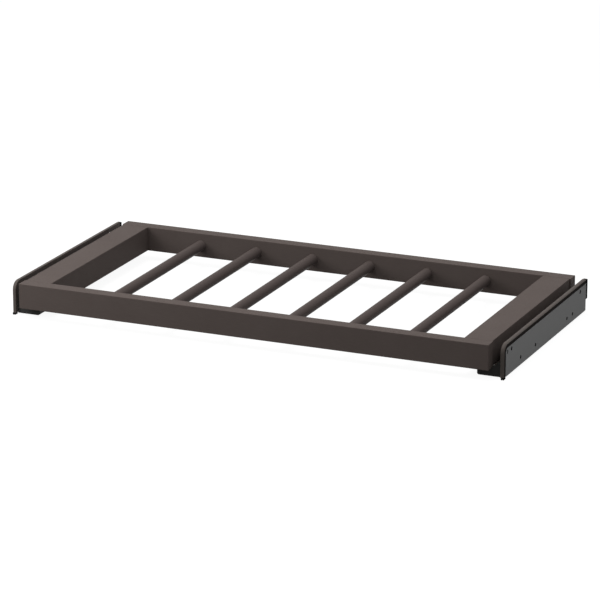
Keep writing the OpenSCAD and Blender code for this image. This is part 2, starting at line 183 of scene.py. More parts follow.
def foil_material(name, along):
    """Matt wood-pore foil, with its pores along X or along Y."""
    material, tree = new_material(name)
    long_way, wide_way = per_metre(PORE_LONG), per_metre(PORE_WIDE)
    scale = (long_way, wide_way, wide_way) if along == "X" else (wide_way, long_way, wide_way)
    pores = add_node(tree, "ShaderNodeTexNoise", {}, {
        "Vector": object_mapping(tree, scale), "Scale": 1.0, "Detail": 3.0, "Roughness": 0.6})
    cloud = add_node(tree, "ShaderNodeTexNoise", {}, {
        "Vector": object_mapping(tree), "Scale": per_metre(60), "Detail": 2.0})
    streaks = add_node(tree, "ShaderNodeMix", {"data_type": "FLOAT"}, {
        "Factor": 0.35, "A": pores.outputs["Fac"], "B": cloud.outputs["Fac"]})
    colour = add_node(tree, "ShaderNodeValToRGB", {}, {"Fac": streaks.outputs["Result"]})
    colour.color_ramp.elements[0].position = 0.32
    colour.color_ramp.elements[0].color = hex_to_linear(FOIL_STREAK)
    colour.color_ramp.elements[1].position = 0.68
    colour.color_ramp.elements[1].color = hex_to_linear(FOIL)
    rough = add_node(tree, "ShaderNodeMapRange", {}, {
        "Value": pores.outputs["Fac"], "To Min": 0.62, "To Max": 0.48})
    bump = add_node(tree, "ShaderNodeBump", {}, {
        "Strength": 0.25, "Distance": 0.05 * MM, "Height": pores.outputs["Fac"]})
    close_material(tree, {
        "Base Color": colour.outputs["Color"], "Roughness": rough.outputs["Result"],
        "Normal": bump.outputs["Normal"], "Specular IOR Level": 0.03})
    return material


foil_across = foil_material("foil_on_particleboard_across", "X")
foil_deep = foil_material("foil_on_particleboard_front_to_back", "Y")
print("foils:", foil_across.name, foil_deep.name)

# %% [markdown]
# ## Powder-coated steel tube
#
# The rods are steel tubes with a baked powder coat in nearly the same brown. The
# powder melts into a skin with a fine orange peel, which breaks the highlight
# along the tube a little. Real orange peel is about a millimetre across, which
# is drawn at twice that here so that it shows.

# %% Powder coat material
def powder_coat_material(name, colour, peel_mm, roughness, specular):
    """Baked powder coat over steel, with orange peel of the given size."""
    material, tree = new_material(name)
    peel = add_node(tree, "ShaderNodeTexNoise", {}, {
        "Vector": object_mapping(tree), "Scale": per_metre(peel_mm), "Detail": 2.0, "Roughness": 0.5})
    tone = add_node(tree, "ShaderNodeMix", {"data_type": "RGBA", "blend_type": "MULTIPLY"}, {
        "Factor": 0.12, "A": hex_to_linear(colour), "B": peel.outputs["Color"]})
    bump = add_node(tree, "ShaderNodeBump", {}, {
        "Strength": 0.2, "Distance": 0.04 * MM, "Height": peel.outputs["Fac"]})
    rough = add_node(tree, "ShaderNodeMapRange", {}, {
        "Value": peel.outputs["Fac"], "To Min": roughness - 0.06, "To Max": roughness + 0.06})
    close_material(tree, {
        "Base Color": tone.outputs["Result"], "Roughness": rough.outputs["Result"],
        "Normal": bump.outputs["Normal"], "Specular IOR Level": specular})
    return material


rod_coat = powder_coat_material("powder_coated_steel_tube", "#685e5b", 2.0, 0.36, 0.008)
plate_coat = powder_coat_material("powder_coated_steel_plate", "#9b9b9b", 1.6, 0.6, 0.08)
print("coats:", rod_coat.name, plate_coat.name)

# %% [markdown]
# ## Moulded polymer
#
# The covers, caps, feet and strips are injection-moulded ABS and nylon. Their
# moulds are spark-eroded, which leaves a satin grain finer than a fifth of a
# millimetre. A voronoi pattern stands for the eroded pits, drawn at half a
# millimetre so that it shows.

# %% Moulded polymer material
def moulded_material(name, colour, grain_mm, roughness, specular):
    """Satin moulded polymer with a spark-eroded grain."""
    material, tree = new_material(name)
    grain = add_node(tree, "ShaderNodeTexVoronoi", {"feature": "SMOOTH_F1"}, {
        "Vector": object_mapping(tree), "Scale": per_metre(grain_mm), "Smoothness": 0.6})
    flow = add_node(tree, "ShaderNodeTexNoise", {}, {
        "Vector": object_mapping(tree), "Scale": per_metre(25), "Detail": 2.0})
    tone = add_node(tree, "ShaderNodeMix", {"data_type": "RGBA", "blend_type": "MULTIPLY"}, {
        "Factor": 0.1, "A": hex_to_linear(colour), "B": flow.outputs["Color"]})
    bump = add_node(tree, "ShaderNodeBump", {}, {
        "Strength": 0.18, "Distance": 0.03 * MM, "Height": grain.outputs["Distance"]})
    rough = add_node(tree, "ShaderNodeMapRange", {}, {
        "Value": flow.outputs["Fac"], "To Min": roughness - 0.05, "To Max": roughness + 0.05})
    close_material(tree, {
        "Base Color": tone.outputs["Result"], "Roughness": rough.outputs["Result"],
        "Normal": bump.outputs["Normal"], "Specular IOR Level": specular})
    return material


cover_polymer = moulded_material("moulded_abs_grey_brown", "#6a625e", 0.5, 0.5, 0.06)
cap_nylon = moulded_material("moulded_nylon_black_satin", "#4a4948", 0.5, 0.5, 0.03)
matt_nylon = moulded_material("moulded_nylon_black_matt", "#0b0b0b", 0.5, 0.8, 0.01)
# Painted shade: the edge strip's near-black, very matt colour stands for the shadow in the slot under the
# cover's lip.
strip_gap_shade_paint = moulded_material("moulded_strip_painted_gap_shade", "#262220", 0.5, 0.8, 0.02)
bumper_rubber = moulded_material("moulded_rubber_black", "#141414", 1.0, 0.8, 0.2)
print("polymers:", cover_polymer.name, cap_nylon.name, matt_nylon.name)
print("and:", strip_gap_shade_paint.name, bumper_rubber.name)

# %% [markdown]
# ## Metals
#
# The slides are cold-rolled strip, zinc plated after rolling, so fine lines run
# along them. The cam fittings are cast zinc, tumbled to an even cloud. The balls
# are lapped bearing steel. The carriers are folded sheet with the rods' powder
# coat, a little finer, and the screws and long rivets are black oxide.

# %% Metal materials
def rolled_steel_material():
    """Zinc-plated strip with fine rolling lines along Y."""
    material, tree = new_material("zinc_plated_rolled_strip")
    lines = add_node(tree, "ShaderNodeTexNoise", {}, {
        "Vector": object_mapping(tree, (per_metre(0.5), per_metre(30), per_metre(0.5))),
        "Scale": 1.0, "Detail": 3.0, "Roughness": 0.7})
    rough = add_node(tree, "ShaderNodeMapRange", {}, {
        "Value": lines.outputs["Fac"], "To Min": 0.28, "To Max": 0.45})
    bump = add_node(tree, "ShaderNodeBump", {}, {
        "Strength": 0.15, "Distance": 0.02 * MM, "Height": lines.outputs["Fac"]})
    close_material(tree, {
        "Base Color": hex_to_linear("#a8a9ab"), "Metallic": 1.0,
        "Roughness": rough.outputs["Result"], "Normal": bump.outputs["Normal"]})
    return material


def cast_zinc_material():
    """Tumbled zinc casting with a soft cloudy surface."""
    material, tree = new_material("tumbled_cast_zinc")
    cloud = add_node(tree, "ShaderNodeTexNoise", {}, {
        "Vector": object_mapping(tree), "Scale": per_metre(1.5), "Detail": 4.0})
    rough = add_node(tree, "ShaderNodeMapRange", {}, {
        "Value": cloud.outputs["Fac"], "To Min": 0.4, "To Max": 0.6})
    bump = add_node(tree, "ShaderNodeBump", {}, {
        "Strength": 0.3, "Distance": 0.05 * MM, "Height": cloud.outputs["Fac"]})
    close_material(tree, {
        "Base Color": hex_to_linear("#a9a8a4"), "Metallic": 1.0,
        "Roughness": rough.outputs["Result"], "Normal": bump.outputs["Normal"]})
    return material


def bearing_steel_material():
    """Lapped ball steel, with a trace of grease that varies the gloss."""
    material, tree = new_material("lapped_bearing_steel")
    grease = add_node(tree, "ShaderNodeTexNoise", {}, {
        "Vector": object_mapping(tree), "Scale": per_metre(2), "Detail": 1.0})
    rough = add_node(tree, "ShaderNodeMapRange", {}, {
        "Value": grease.outputs["Fac"], "To Min": 0.06, "To Max": 0.2})
    close_material(tree, {
        "Base Color": hex_to_linear("#c9cacc"), "Metallic": 1.0, "Roughness": rough.outputs["Result"]})
    return material


strip_steel = rolled_steel_material()
cast_zinc = cast_zinc_material()
ball_steel = bearing_steel_material()
carrier_coat = powder_coat_material("powder_coated_folded_sheet", "#544a46", 1.2, 0.5, 0.08)
screw_black = powder_coat_material("black_oxide_steel", "#161616", 0.8, 0.5, 0.15)
rivet_black = powder_coat_material("black_oxide_rivet", "#0b0b0b", 0.8, 0.7, 0.02)
# Painted shade: a near-black for the rims and walls of the plate's holes, standing for the dark inside them.
hole_shade_paint = powder_coat_material("painted_hole_shade_black", "#0b0b0b", 0.8, 0.8, 0.02)
print("metals:", strip_steel.name, cast_zinc.name, ball_steel.name, carrier_coat.name, screw_black.name)
print("in the plate's holes:", rivet_black.name, hole_shade_paint.name)

# %% [markdown]
# ## Beech
#
# The corner dowels are plain turned beech. The grain runs along the dowel, with
# short darker flecks in it.

# %% Beech material
def beech_material():
    """Turned beech with flecked grain along Y."""
    material, tree = new_material("turned_beech")
    grain = add_node(tree, "ShaderNodeTexNoise", {}, {
        "Vector": object_mapping(tree, (per_metre(0.6), per_metre(7), per_metre(0.6))),
        "Scale": 1.0, "Detail": 4.0, "Roughness": 0.65})
    colour = add_node(tree, "ShaderNodeValToRGB", {}, {"Fac": grain.outputs["Fac"]})
    colour.color_ramp.elements[0].position = 0.35
    colour.color_ramp.elements[0].color = hex_to_linear("#a67f52")
    colour.color_ramp.elements[1].position = 0.6
    colour.color_ramp.elements[1].color = hex_to_linear("#cdaa7c")
    bump = add_node(tree, "ShaderNodeBump", {}, {
        "Strength": 0.3, "Distance": 0.06 * MM, "Height": grain.outputs["Fac"]})
    close_material(tree, {
        "Base Color": colour.outputs["Color"], "Roughness": 0.6, "Normal": bump.outputs["Normal"]})
    return material


beech = beech_material()
print("wood:", beech.name)

# %% [markdown]
# ## Working in edit mode from code
#
# A person picks edges with the mouse. Code picks them by where they are and
# which way they run. Everything is deselected first, because an operator acts on
# all that is selected.

# %% Start and leave edit mode
def only(piece):
    """Select this piece and nothing else, and make it the active one."""
    bpy.ops.object.select_all(action="DESELECT")
    piece.select_set(True)
    bpy.context.view_layer.objects.active = piece


def choose(piece, mode, test):
    """Enter edit mode with only the edges or faces selected that pass the test."""
    only(piece)
    bpy.ops.object.mode_set(mode="EDIT")
    bpy.ops.mesh.select_mode(type=mode)
    bpy.ops.mesh.select_all(action="DESELECT")
    shape = bmesh.from_edit_mesh(piece.data)
    parts = shape.edges if mode == "EDGE" else shape.faces
    for part in parts:
        if test(part):
            part.select_set(True)
    bmesh.update_edit_mesh(piece.data)


def leave():
    bpy.ops.object.mode_set(mode="OBJECT")


def edge_middle(edge):
    return (edge.verts[0].co + edge.verts[1].co) / 2


def runs_along(edge, axis):
    """True for an edge parallel to axis 0, 1 or 2."""
    way = edge.verts[1].co - edge.verts[0].co
    return abs(way[axis]) > 0.999 * way.length


def near(value, target):
    return abs(value - target) < SAME_PLACE


# %% [markdown]
# ## Blocks, bars and cuts
#
# Most of these pieces start as a box or a bar at its real place. The next
# helpers add one between two corners or two points, cut one piece with another,
# and weld two into one. The Boolean modifier is set to exact and applied at once.

# %% Primitives at their place, and Booleans
def block(name, low, high):
    """A cuboid between two corners, with its place in its mesh."""
    low, high = Vector(low), Vector(high)
    bpy.ops.object.select_all(action="DESELECT")
    bpy.ops.mesh.primitive_cube_add(size=1, location=(low + high) / 2, scale=high - low)
    piece = bpy.context.object
    piece.name = name
    bpy.ops.object.transform_apply(location=True, rotation=True, scale=True)
    return piece


def bar(name, start, length, radius, axis, sides=48):
    """A round bar from start along axis 0, 1 or 2, with its place in its mesh."""
    turn = [(0, math.pi / 2, 0), (-math.pi / 2, 0, 0), (0, 0, 0)][axis]
    middle = Vector(start)
    middle[axis] += length / 2
    bpy.ops.object.select_all(action="DESELECT")
    bpy.ops.mesh.primitive_cylinder_add(
        vertices=sides, radius=radius, depth=length, location=middle, rotation=turn)
    piece = bpy.context.object
    piece.name = name
    bpy.ops.object.transform_apply(location=True, rotation=True, scale=True)
    return piece


def boolean(piece, tool, operation):
    """Cut, weld or clip the piece with the tool, which is then thrown away."""
    only(piece)
    modifier = piece.modifiers.new("boolean", "BOOLEAN")
    modifier.operation = operation
    modifier.solver = "EXACT"
    modifier.object = tool
    bpy.ops.object.modifier_apply(modifier=modifier.name)
    bpy.data.objects.remove(tool)
    return piece


def cut(piece, *tools):
    for tool in tools:
        boolean(piece, tool, "DIFFERENCE")
    return piece


def weld(piece, *tools):
    for tool in tools:
        boolean(piece, tool, "UNION")
    return piece


def join(pieces):
    """Put loose pieces together in one mesh, without welding them."""
    bpy.ops.object.select_all(action="DESELECT")
    for piece in pieces:
        piece.select_set(True)
    bpy.context.view_layer.objects.active = pieces[0]
    bpy.ops.object.join()
    return pieces[0]


def round_edges(piece, axis, radius, segments, test=None):
    """Bevel the edges that run along an axis, all of them or those that pass the test."""
    choose(piece, "EDGE", lambda e: runs_along(e, axis) and (test is None or test(edge_middle(e))))
    bpy.ops.mesh.bevel(offset=radius, segments=segments, affect="EDGES")
    leave()


# %% [markdown]
# ## Copies, mirror images and the last touches
#
# The left runner is the mirror image of the right one, so each part is modelled
# once. A mirrored mesh is inside out, so its normals are recalculated. Most
# pieces get a small bevel on the edges that are still sharp. Every finished piece
# gets smooth shading up to an angle, and normals weighted by face area, which
# keep the flat faces flat. Then its solid is hidden, and it rides the solid's body.

# %% Copy, mirror and finish
def own_copy(piece, name):
    """A copy with its own mesh."""
    copy = piece.copy()
    copy.data = piece.data.copy()
    copy.name = name
    bpy.context.scene.collection.objects.link(copy)
    return copy


def other_side(piece, name):
    """The mirror image across the middle of the hanger."""
    copy = own_copy(piece, name)
    only(copy)
    bpy.ops.transform.resize(value=(-1, 1, 1), center_override=(0, 0, 0))
    bpy.ops.object.transform_apply(location=True, rotation=True, scale=True)
    bpy.ops.object.mode_set(mode="EDIT")
    bpy.ops.mesh.select_all(action="SELECT")
    bpy.ops.mesh.normals_make_consistent(inside=False)
    leave()
    return copy


def soften(piece, width, segments=2):
    """Bevel every edge that is sharper than 40 degrees."""
    only(piece)
    modifier = piece.modifiers.new("soften", "BEVEL")
    modifier.width = width
    modifier.segments = segments
    modifier.limit_method = "ANGLE"
    modifier.angle_limit = SHARP_EDGE
    bpy.ops.object.modifier_apply(modifier=modifier.name)


def finish(piece, node, material):
    """Shade the piece, give it its material and let it stand for its solid."""
    only(piece)
    bpy.ops.object.shade_smooth_by_angle(angle=SMOOTH_EDGE)
    modifier = piece.modifiers.new("weighted", "WEIGHTED_NORMAL")
    modifier.keep_sharp = True
    bpy.ops.object.modifier_apply(modifier=modifier.name)
    piece.data.materials.clear()
    piece.data.materials.append(material)
    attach(piece, nodes[node]["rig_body"])
    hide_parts(node)
    print(piece.name, "faces", len(piece.data.polygons), "for", node)
    return piece


# %% [markdown]
# ## The front and back rail
#
# Each is one length of wrapped board. The foil goes round the long edges with a
# radius of a millimetre, while the sawn ends are only broken. So the long edges
# are beveled first, with more segments, and the ends get a fine bevel. Blind
# seats for the rods and holes for the corner dowels and cam bolts are drilled
# in the inner face, each at the place of the solid that goes in.

# %% Where the fittings are
rod_boxes = [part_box(f"rod_{n}") for n in range(1, 7)]
rod_radius = (rod_boxes[0][1].z - rod_boxes[0][0].z) / 2
rod_height = (rod_boxes[0][1].z + rod_boxes[0][0].z) / 2
rod_places = [(low.x + high.x) / 2 for low, high in rod_boxes]
rod_start, rod_stop = rod_boxes[0][0].y, rod_boxes[0][1].y
print("rods:", len(rod_places), "radius", round(rod_radius, 5), "first at", round(rod_places[0], 4))

DOWEL_RADIUS = 4 * MM
BOLT_RADIUS = 3 * MM
DISC_RADIUS = 7.5 * MM
dowel_low, dowel_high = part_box("corner_dowels")
bolt_low, bolt_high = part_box("cam_bolts")
disc_low, disc_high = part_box("cam_discs")
side_low, side_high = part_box("right_side_rail")
dowel_outer = dowel_high.x - DOWEL_RADIUS
dowel_inner = side_low.x + side_high.x - dowel_outer
bolt_place = bolt_high.x - BOLT_RADIUS
print("dowels at", round(dowel_inner, 4), round(dowel_outer, 4), "bolt at", round(bolt_place, 4))

# %% Model both long rails
def end_rail(node, is_front):
    """The front or the back rail, with its blind seats in the inner face."""
    low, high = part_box(node)
    rail = block(node + "_board", low, high)
    round_edges(rail, 0, RAIL_EDGE, 4)
    choose(rail, "EDGE", lambda e: not runs_along(e, 0))
    bpy.ops.mesh.bevel(offset=FINE_EDGE, segments=2, affect="EDGES")
    leave()
    inner = high.y if is_front else low.y
    rod_end = rod_start - ROD_FIT if is_front else rod_stop + ROD_FIT
    fittings = [(x, rod_end, rod_radius + ROD_FIT) for x in rod_places]
    for side in (-1, 1):
        dowel_end = dowel_low.y if is_front else dowel_high.y
        bolt_end = bolt_low.y if is_front else bolt_high.y
        fittings += [(side * x, dowel_end, DOWEL_RADIUS) for x in (dowel_inner, dowel_outer)]
        fittings.append((side * bolt_place, bolt_end, BOLT_RADIUS))
    past = PAST if is_front else -PAST
    drills = []
    for x, end, radius in fittings:
        start, stop = sorted((end, inner + past))
        drills.append(bar("drill", (x, start, rod_height), stop - start, radius, 1))
    return cut(rail, join(drills))


finish(end_rail("front_rail", True), "front_rail", foil_across)
finish(end_rail("back_rail", False), "back_rail", foil_across)

# %% [markdown]
# ## The side rails
#
# They are wider and lie flat between the other two. Cam pockets and screw holes
# are bored from below, where nobody sees them in the wardrobe, but a view from
# underneath does. The screws' places come from the box round all six of them.

# %% Model both side rails
SCREW_HEAD = 4 * MM
SCREW_SHANK = 2 * MM
SCREW_ROOM = 0.3 * MM
POCKET_FIT = 0.1 * MM
screw_low, screw_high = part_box("frame_screws")
screw_place = screw_high.x - SCREW_HEAD
screw_first, screw_last = screw_low.y + SCREW_HEAD, screw_high.y - SCREW_HEAD
screw_ys = (screw_first, (screw_first + screw_last) / 2, screw_last)
disc_place = disc_high.x - DISC_RADIUS
disc_ys = (disc_low.y + DISC_RADIUS, disc_high.y - DISC_RADIUS)


def side_rail():
    """The right-hand side rail."""
    low, high = side_low, side_high
    rail = block("right_side_rail_board", low, high)
    round_edges(rail, 1, RAIL_EDGE, 4)
    choose(rail, "EDGE", lambda e: not runs_along(e, 1))
    bpy.ops.mesh.bevel(offset=SEAM_EDGE, segments=2, affect="EDGES")
    leave()
    drills = [bar("drill", (disc_place, y, low.z - PAST), disc_high.z - low.z + PAST,
                  DISC_RADIUS + POCKET_FIT, 2) for y in disc_ys]
    drills += [bar("drill", (screw_place, y, low.z - PAST), screw_high.z - low.z + PAST + SCREW_ROOM,
                   SCREW_SHANK, 2, 24) for y in screw_ys]
    return cut(rail, join(drills))


right_rail = side_rail()
left_rail = other_side(right_rail, "left_side_rail_board")
finish(right_rail, "right_side_rail", foil_deep)
finish(left_rail, "left_side_rail", foil_deep)

# %% [markdown]
# ## The rods
#
# A rod is a tube, so it starts as an open cylinder and Solidify gives it its
# wall, inwards. The cut ends get a fine bevel. It has 96 sides, because its
# outline is the roundest thing in the picture. Then it is copied five times.

# %% Model one rod and copy it
def open_tube(name, x, y, z, length, radius, wall, sides):
    """A round tube along Y from an open cylinder."""
    bpy.ops.object.select_all(action="DESELECT")
    bpy.ops.mesh.primitive_cylinder_add(
        vertices=sides, radius=radius, depth=length, end_fill_type="NOTHING",
        location=(x, y + length / 2, z), rotation=(math.pi / 2, 0, 0))
    piece = bpy.context.object
    piece.name = name
    bpy.ops.object.transform_apply(location=True, rotation=True, scale=True)
    modifier = piece.modifiers.new("wall", "SOLIDIFY")
    modifier.thickness = wall
    modifier.offset = -1
    bpy.ops.object.modifier_apply(modifier=modifier.name)
    return piece


ROD_WALL = 1.5 * MM
first_rod = open_tube("rod_1_tube", rod_places[0], rod_start, rod_height,
                      rod_stop - rod_start, rod_radius, ROD_WALL, 96)
soften(first_rod, FINE_EDGE)
rods = [first_rod]
for number, place in enumerate(rod_places[1:], 2):
    rod = own_copy(first_rod, f"rod_{number}_tube")
    only(rod)
    bpy.ops.transform.translate(value=(place - rod_places[0], 0, 0))
    bpy.ops.object.transform_apply(location=True, rotation=True, scale=True)
    rods.append(rod)
for number, rod in enumerate(rods, 1):
    finish(rod, f"rod_{number}", rod_coat)

# %% [markdown]
# ## The carrier
#
# Under each side rail lies a folded sheet: a seat that the rail is screwed to, a
# web, a floor, and a leg that is riveted to the slide. A press brake makes it
# from one flat sheet, so it is modelled the same way: one face is extruded edge
# by edge along the folds, the folds are beveled to their radius, and Solidify
# turns the skin into sheet, inwards. In front of the slide the leg is cut low.
# Holes come last, as in a drill press.

# %% Model the carrier
cap_low, cap_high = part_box("right_carrier_cap")
carrier_low, carrier_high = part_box("right_carrier")
SEAT_WIDTH = 22 * MM
DRIVER_HOLE = 5 * MM
SCREW_HOLE = 2.1 * MM
RIVET_HEAD = 3.5 * MM
RIVET_SHANK = 2 * MM
LEG_LOW = 4 * MM


def folded_skin(name, corners, start, length):
    """A skin along Y through the corners, given as (x, z), made by extruding an edge."""
    bpy.ops.object.select_all(action="DESELECT")
    bpy.ops.mesh.primitive_plane_add(size=1)
    piece = bpy.context.object
    piece.name = name
    (x0, z0), (x1, z1) = corners[:2]
    for vertex, (x, y, z) in zip(piece.data.vertices, (
            (x0, start, z0), (x1, start, z1), (x0, start + length, z0), (x1, start + length, z1))):
        vertex.co = (x, y, z)
    for (x0, z0), (x1, z1) in zip(corners[1:], corners[2:]):
        choose(piece, "EDGE", lambda e: runs_along(e, 1) and near(edge_middle(e).x, x0)
               and near(edge_middle(e).z, z0))
        bpy.ops.mesh.extrude_region_move(TRANSFORM_OT_translate={"value": (x1 - x0, 0, z1 - z0)})
        leave()
    return piece


def carrier():
    """The right-hand carrier, a C with a long leg."""
    low, high = carrier_low, carrier_high
    seat_top = side_low.z
    piece = folded_skin("right_carrier_sheet", [
        (low.x + SEAT_WIDTH, seat_top), (low.x, seat_top), (low.x, low.z),
        (high.x, low.z), (high.x, high.z)], low.y, high.y - low.y)
    for x, z in ((low.x, seat_top), (low.x, low.z), (high.x, low.z)):
        round_edges(piece, 1, FOLD, 6, lambda m: near(m.x, x) and near(m.z, z))
    only(piece)
    bpy.ops.object.mode_set(mode="EDIT")
    bpy.ops.mesh.select_all(action="SELECT")
    bpy.ops.mesh.normals_make_consistent(inside=False)
    leave()
    modifier = piece.modifiers.new("sheet", "SOLIDIFY")
    modifier.thickness = SHEET
    modifier.offset = 1 if piece.data.polygons[0].normal.z < 0 else -1
    modifier.use_even_offset = True
    bpy.ops.object.modifier_apply(modifier=modifier.name)
    slide_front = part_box("right_drawer_member")[0].y
    return cut(piece, block("notch", (high.x - SHEET - PAST, low.y - PAST, seat_top + LEG_LOW),
                            (high.x + PAST, slide_front, high.z + PAST)))


def drill_carrier(piece):
    """Bore the driver holes, the screw holes and the rivet holes."""
    low, high = carrier_low, carrier_high
    rivet_low, rivet_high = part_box("carrier_rivets")
    rivet_first, rivet_last = rivet_low.y + RIVET_HEAD, rivet_high.y - RIVET_HEAD
    rivet_z = (rivet_low.z + rivet_high.z) / 2
    drills = []
    seat_low = side_low.z - SHEET - PAST
    for y in screw_ys:
        drills.append(bar("drill", (screw_place, y, low.z - PAST), SHEET + 2 * PAST, DRIVER_HOLE, 2))
        drills.append(bar("drill", (screw_place, y, seat_low), SHEET + 2 * PAST, SCREW_HOLE, 2, 24))
    for y in (rivet_first, (rivet_first + rivet_last) / 2, rivet_last):
        drills.append(bar("drill", (high.x - SHEET - PAST, y, rivet_z), SHEET + 2 * PAST, RIVET_SHANK, 0, 24))
    return cut(piece, join(drills))


right_carrier = drill_carrier(carrier())
soften(right_carrier, SHEET_EDGE)
left_carrier = other_side(right_carrier, "left_carrier_sheet")
finish(right_carrier, "right_carrier", carrier_coat)
finish(left_carrier, "left_carrier", carrier_coat)

# %% [markdown]
# ## The carrier's end cap
#
# A moulded cap closes the front of the folded sheet. Beside the frame it has a
# low step, and a hollow curve runs from the step up to a raised side. So a full
# side is added first, and then two blocks and a round bar are cut out of it. All
# the cap's edges are rounded, and its lower rim catches a thin line of light.

# %% Model the end cap
CAP_RISE_WIDTH = 7 * MM
CAP_STEP = 2.5 * MM
CAP_STEP_GAP = 0.3 * MM
CAP_HOLLOW = 6 * MM
CAP_EDGE = 0.5 * MM
CAP_THICK = 2 * MM
CAP_TOP_GAP = 0.3 * MM
PLUG_FIT = 0.1 * MM


def carrier_cap():
    """The right-hand cap, with the plug that holds it in the folded sheet."""
    low, high = cap_low, cap_high
    plate_top = side_low.z - CAP_TOP_GAP
    face_back = low.y + CAP_THICK
    piece = block("right_carrier_cap_moulding", low, (high.x, face_back, plate_top))
    round_edges(piece, 1, FOLD, 6, lambda m: near(m.x, low.x) and near(m.z, low.z))
    rise_x = high.x - CAP_RISE_WIDTH
    step_top = side_low.z + CAP_STEP
    step_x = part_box("front_rail")[1].x + CAP_STEP_GAP
    weld(piece, block("side", (step_x, low.y, low.z), (high.x, face_back, high.z)))
    front, back = low.y - PAST, face_back + PAST
    cut(piece,
        block("above", (step_x - PAST, front, step_top + CAP_HOLLOW), (rise_x, back, high.z + PAST)),
        block("beside", (step_x - PAST, front, step_top), (rise_x - CAP_HOLLOW, back, high.z + PAST)),
        bar("round", (rise_x - CAP_HOLLOW, front, step_top + CAP_HOLLOW), back - front, CAP_HOLLOW, 1))
    soften(piece, CAP_EDGE, 3)
    plug = block("plug", (low.x + SHEET + PLUG_FIT, face_back - CAP_EDGE, low.z + SHEET + PLUG_FIT),
                 (low.x + SEAT_WIDTH - SHEET - PLUG_FIT, high.y, side_low.z - SHEET - PLUG_FIT))
    round_edges(plug, 1, FOLD - SHEET - PLUG_FIT, 4)
    return weld(piece, plug)


right_cap = carrier_cap()
left_cap = other_side(right_cap, "left_carrier_cap_moulding")
finish(right_cap, "right_carrier_cap", cap_nylon)
finish(left_cap, "left_carrier_cap", cap_nylon)

# %% [markdown]
# ## The screws under the side rails
#
# Each is a pan-head screw, driven through the round access holes in the
# carrier's floor. The head's rim is rounded and a cross recess is cut in it. All
# six are one piece here, because they are one solid group in the frame.

# %% Model the screws
HEAD_HEIGHT = 2.4 * MM
HEAD_ROUND = 1.2 * MM
RECESS_LONG = 2.1 * MM
RECESS_WIDE = 0.45 * MM
RECESS_DEEP = 1.3 * MM


def frame_screw(x, y):
    """One pan-head screw with a cross recess, head down."""
    low, high = screw_low.z, screw_high.z
    head = bar("head", (x, y, low), HEAD_HEIGHT, SCREW_HEAD, 2, 32)
    choose(head, "EDGE", lambda e: near(e.verts[0].co.z, low) and near(e.verts[1].co.z, low))
    bpy.ops.mesh.bevel(offset=HEAD_ROUND, segments=4, affect="EDGES")
    leave()
    for a, b in ((RECESS_LONG, RECESS_WIDE), (RECESS_WIDE, RECESS_LONG)):
        cut(head, block("recess", (x - a, y - b, low - PAST), (x + a, y + b, low + RECESS_DEEP)))
    shank_low = low + HEAD_HEIGHT - LINE
    shank = bar("shank", (x, y, shank_low), high - shank_low, SCREW_SHANK, 2, 24)
    return weld(head, shank)


screws = join([frame_screw(side * screw_place, y) for side in (-1, 1) for y in screw_ys])
screws.name = "frame_screw_set"
finish(screws, "frame_screws", screw_black)

# %% [markdown]
# ## The runner's outline
#
# Seen from the side, the plate, the cover and the strip between them all follow
# one outline: straight up the front, round the upper corner and back along the
# top. Each is that outline drawn in by a different amount. So one helper makes a
# block of the outline, drawn in by inset, with its upper front corner rounded.

# %% A block of the runner's outline
cover_low, cover_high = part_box("right_cover")
plate_low, plate_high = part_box("right_plate")
wall_x = plate_high.x
rear_y = plate_high.y
bottom_z = plate_low.z


def outline_block(name, x_low, x_high, inset, past=0.0):
    piece = block(name, (x_low, cover_low.y + inset, bottom_z - past),
                  (x_high, rear_y + past, cover_high.z - inset))
    front, top = cover_low.y + inset, cover_high.z - inset
    round_edges(piece, 0, COVER_CORNER - inset, 12, lambda m: near(m.y, front) and near(m.z, top))
    return piece


print("wall face at", round(wall_x, 4), "rear end at", round(rear_y, 4), "lower end at", round(bottom_z, 4))

# %% [markdown]
# ## The side plate
#
# A pressed steel panel screws to the wardrobe's side. Along its top and front it
# is stepped inwards by its own thickness, and that step carries the cover. The
# panel and the step are modelled as two flat shapes, welded, and the wardrobe
# screws' holes are drilled where the frame's record says that they are. The
# punch leaves a low pressed rim round each. These rims and the hole walls, and the
# rims round the rivets, are painted near-black as painted shade for the dark holes.

# %% Model the plate
FLANGE_START = 1.6 * MM
FLANGE_LAP = 1.5 * MM
RIVET_RADIUS = 3.05 * MM
RIVET_BODY = 3 * MM
RIVET_STEPS = [0, 76.5 * MM, 244.5 * MM, 275 * MM]
RIM_WIDE = 0.45 * MM
RIM_DEEP = 0.5 * MM


def hole_places():
    """The (y, z, radius) of each wardrobe screw hole, from the record's mounts."""
    holes = []
    for mount in frame["record"]["mounts"]:
        x, y, z = mount["pos_m"]
        if x < 0 or mount["kind"] not in ("bolt_pattern", "bore"):
            continue
        if mount["kind"] == "bore":
            holes.append((y, z, mount["dims"]["r_mm"] * MM))
        else:
            half = mount["dims"]["spacing_x_mm"] * MM / 2
            holes += [(y + way * half, z, mount["dims"]["hole_r_mm"] * MM) for way in (-1, 1)]
    return holes


def rivet_places():
    """The (y, z, radius) of each long rivet's hole, from the box round the rivets."""
    low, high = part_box("plate_rivets")
    return [(low.y + RIVET_BODY + step, (low.z + high.z) / 2, RIVET_RADIUS) for step in RIVET_STEPS]


def paint_hole_shade(piece):
    """Paint the rims and walls of the plate's holes and rivet holes near-black, as painted shade."""
    piece.data.materials.append(hole_shade_paint)
    places = hole_places() + rivet_places()
    corners = piece.data.vertices
    for face in piece.data.polygons:
        for y, z, radius in places:
            reach = max(math.hypot(corners[v].co.y - y, corners[v].co.z - z) for v in face.vertices)
            if reach < radius + RIM_WIDE + SHEET_EDGE + LINE:
                face.material_index = 1


